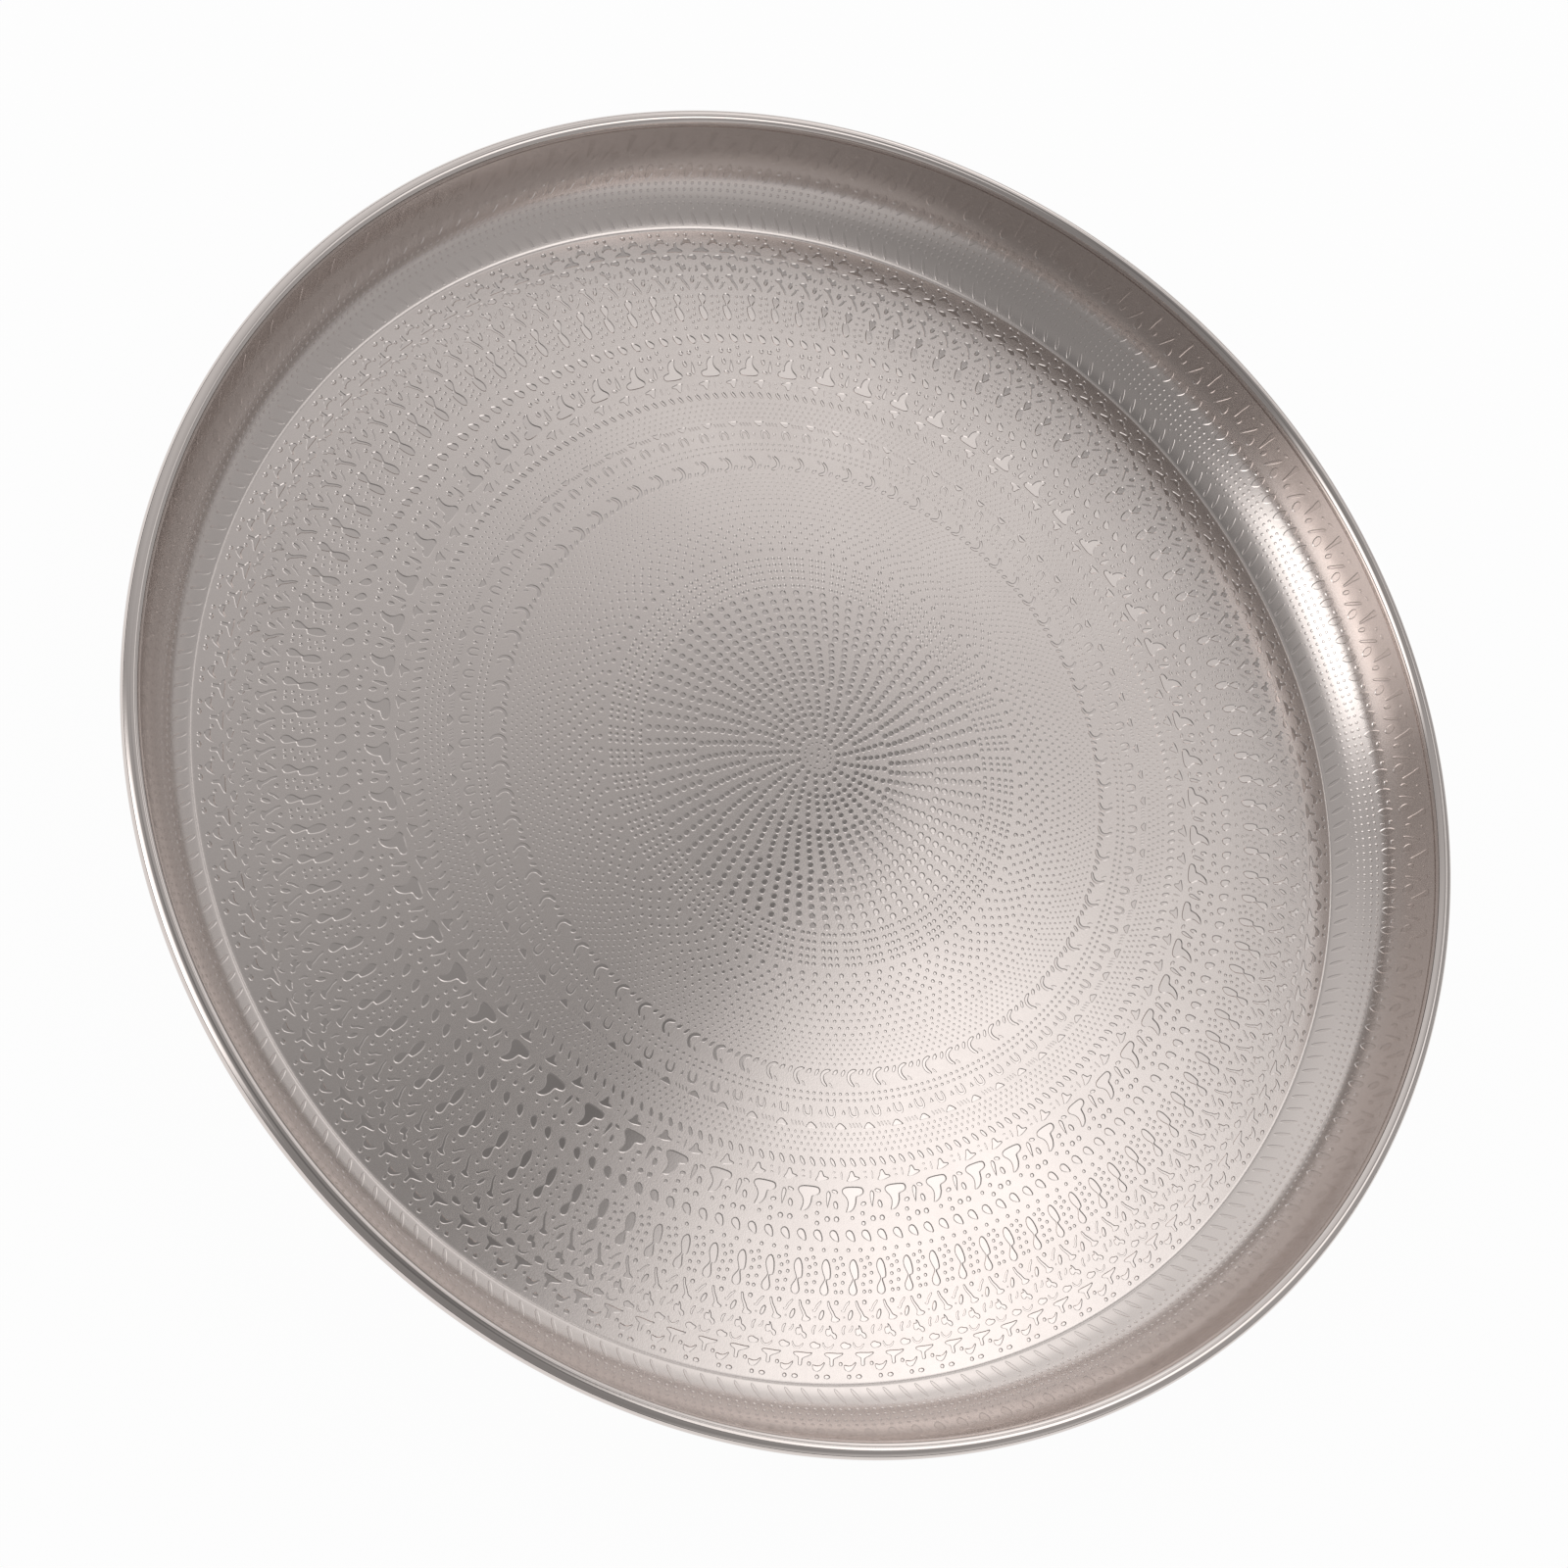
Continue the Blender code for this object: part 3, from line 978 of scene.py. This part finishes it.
# Share of the tent's light that shows at some heights, the sine of their elevation, above the table
HORIZON_STOPS = ((0.0, 0.15), (0.1, 0.15), (0.13, 1.3), (0.19, 1.3), (0.22, 1.0))


def card_light(graph, heading, azimuth, elevation, radius, soft, light):
    """Light that a round card adds in the directions near its own."""
    turn = math.radians(azimuth)
    rise = math.radians(elevation)
    aim = (math.cos(rise) * math.cos(turn), math.cos(rise) * math.sin(turn), math.sin(rise))
    near = graph.node(
        "ShaderNodeVectorMath", {"operation": "DOT_PRODUCT"}, {0: heading, 1: aim}, output="Value")
    angle = graph.node("ShaderNodeMath", {"operation": "ARCCOSINE"}, {0: near})
    return graph.node("ShaderNodeMapRange", {"interpolation_type": "SMOOTHSTEP"}, {
        "Value": angle,
        "From Min": math.radians(radius - soft / 2),
        "From Max": math.radians(radius + soft / 2),
        "To Min": light,
        "To Max": 0.0,
    })


def add_tent(context):
    """A grey tent all round the table, with a few soft cards of more or less light."""
    bm = bmesh.new()
    bmesh.ops.create_uvsphere(bm, u_segments=TENT_SEGMENTS, v_segments=TENT_RINGS, radius=TENT_RADIUS)
    below = [vert for vert in bm.verts if vert.co.z < -TABLE_DROP]
    bmesh.ops.delete(bm, geom=below, context="VERTS")
    material = bpy.data.materials.new("light_tent")
    graph = Graph(material)
    place = graph.node("ShaderNodeTexCoord", output="Object")
    heading = graph.node("ShaderNodeVectorMath", {"operation": "NORMALIZE"}, {0: place})
    tone = TENT_BASE
    for card in TENT_CARDS.values():
        tone = tone + card_light(graph, heading, *card)
    rise = graph.node("ShaderNodeSeparateXYZ", {}, {0: heading}, output="Z")
    horizon = graph.node("ShaderNodeValToRGB", {"stops": HORIZON_STOPS}, {"Fac": rise})
    tone = tone * horizon
    glow = graph.node("ShaderNodeEmission", {}, {"Color": tone, "Strength": 1.0})
    graph.node("ShaderNodeOutputMaterial", {}, {"Surface": glow})
    tent = add_stage_mesh(context, "light_tent", bm, material)
    tent.visible_camera = False


# Operators

# The piece of the wall begins on the flat floor, between the border and the leaves
WALL_START = 178.4

# Each piece of the floor has its bands, and the circles where it begins and ends
FLOOR_PIECES = {
    "floor_centre": (centre_bands, 0, 53.75),
    "floor_inner": (inner_bands, 53.75, 93.35),
    "floor_middle": (middle_bands, 93.35, 121.95),
    "floor_outer": (outer_bands, 121.95, 156.75),
    "floor_border": (border_bands, 156.75, WALL_START),
}

# How many strips the underside has along the bow of the wall and along the cove
BOW_STRIPS = 18
COVE_STRIPS = 4


class TRAY_OT_floor(bpy.types.Operator):
    """Press the five rings of the flat floor"""

    bl_idname = "tray.floor"
    bl_label = "Embossed floor"

    def execute(self, context):
        sizes = context.scene.tray_sizes
        finish = context.scene.tray_finish
        shape = PanShape(sizes)
        for name, (bands, inner, outer) in FLOOR_PIECES.items():
            steps = sizes.wall_steps if outer == WALL_START else sizes.floor_steps
            bm = embossed_blank(bands(), inner, outer, steps, sizes.press_slope, sizes.sheet)
            finish_piece(bm, name, [ground_steel(finish), pressed_steel(finish)], shape.draw(bm))
        return {"FINISHED"}


class TRAY_OT_wall(bpy.types.Operator):
    """Press and draw the cove and the wall"""

    bl_idname = "tray.wall"
    bl_label = "Embossed wall"

    def execute(self, context):
        sizes = context.scene.tray_sizes
        finish = context.scene.tray_finish
        shape = PanShape(sizes)
        floor = shape.floor_radius / MM
        foot = shape.cove_end / MM
        bend = shape.bow_end / MM
        under = [bend - (bend - foot) * step / BOW_STRIPS for step in range(BOW_STRIPS + 1)]
        under += [foot - (foot - floor) * step / COVE_STRIPS for step in range(1, COVE_STRIPS + 1)]
        bm = embossed_blank(
            wall_bands(), WALL_START, shape.blank_radius / MM, sizes.wall_steps, sizes.wall_press_slope,
            sizes.sheet, under)
        finish_piece(bm, "wall", [ground_steel(finish), wall_mark_steel(finish)], shape.draw(bm))
        return {"FINISHED"}


class TRAY_OT_rim(bpy.types.Operator):
    """Roll the rim over its wire, and finish the wire"""

    bl_idname = "tray.rim"
    bl_label = "Rolled rim"

    def execute(self, context):
        sizes = context.scene.tray_sizes
        finish = context.scene.tray_finish
        bm = rolled_rim(PanShape(sizes), sizes.wall_steps)
        finish_piece(bm, "rim_roll", [rim_steel(finish)])
        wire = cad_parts["rim_wire"]
        for slot in wire.material_slots:
            slot.material = wire_steel(finish)
        return {"FINISHED"}


class TRAY_OT_stage(bpy.types.Operator):
    """Set the floor, the light and the camera"""

    bl_idname = "tray.stage"
    bl_label = "Studio"

    def execute(self, context):
        studio = context.scene.tray_studio
        set_camera(context, studio)
        set_world(context)
        add_table(context)
        add_panel(context, studio)
        add_tent(context)
        context.scene.view_settings.view_transform = "Standard"
        return {"FINISHED"}


class TRAY_PT_sidebar(bpy.types.Panel):
    """Sizes, finishes and steps of the tray"""

    bl_idname = "TRAY_PT_sidebar"
    bl_label = "Tray"
    bl_space_type = "VIEW_3D"
    bl_region_type = "UI"
    bl_category = "Tray"

    def draw(self, context):
        scene = context.scene
        for group in (scene.tray_sizes, scene.tray_finish, scene.tray_studio):
            column = self.layout.column(align=True)
            for name in group.__annotations__:
                column.prop(group, name)
        for operator in OPERATORS:
            self.layout.operator(operator.bl_idname)


OPERATORS = (TRAY_OT_floor, TRAY_OT_wall, TRAY_OT_rim, TRAY_OT_stage)
CLASSES = (TraySizes, TrayFinish, TrayStudio, *OPERATORS, TRAY_PT_sidebar)


def register():
    """Add the classes and the scene's settings."""
    for item in CLASSES:
        bpy.utils.register_class(item)
    bpy.types.Scene.tray_sizes = PointerProperty(type=TraySizes)
    bpy.types.Scene.tray_finish = PointerProperty(type=TrayFinish)
    bpy.types.Scene.tray_studio = PointerProperty(type=TrayStudio)


def unregister():
    """Take away the scene's settings and the classes."""
    del bpy.types.Scene.tray_studio
    del bpy.types.Scene.tray_finish
    del bpy.types.Scene.tray_sizes
    for item in reversed(CLASSES):
        bpy.utils.unregister_class(item)


def main():
    register()
    bpy.ops.tray.floor()
    bpy.ops.tray.wall()
    bpy.ops.tray.rim()
    bpy.ops.tray.stage()


if __name__ == "__main__":
    main()
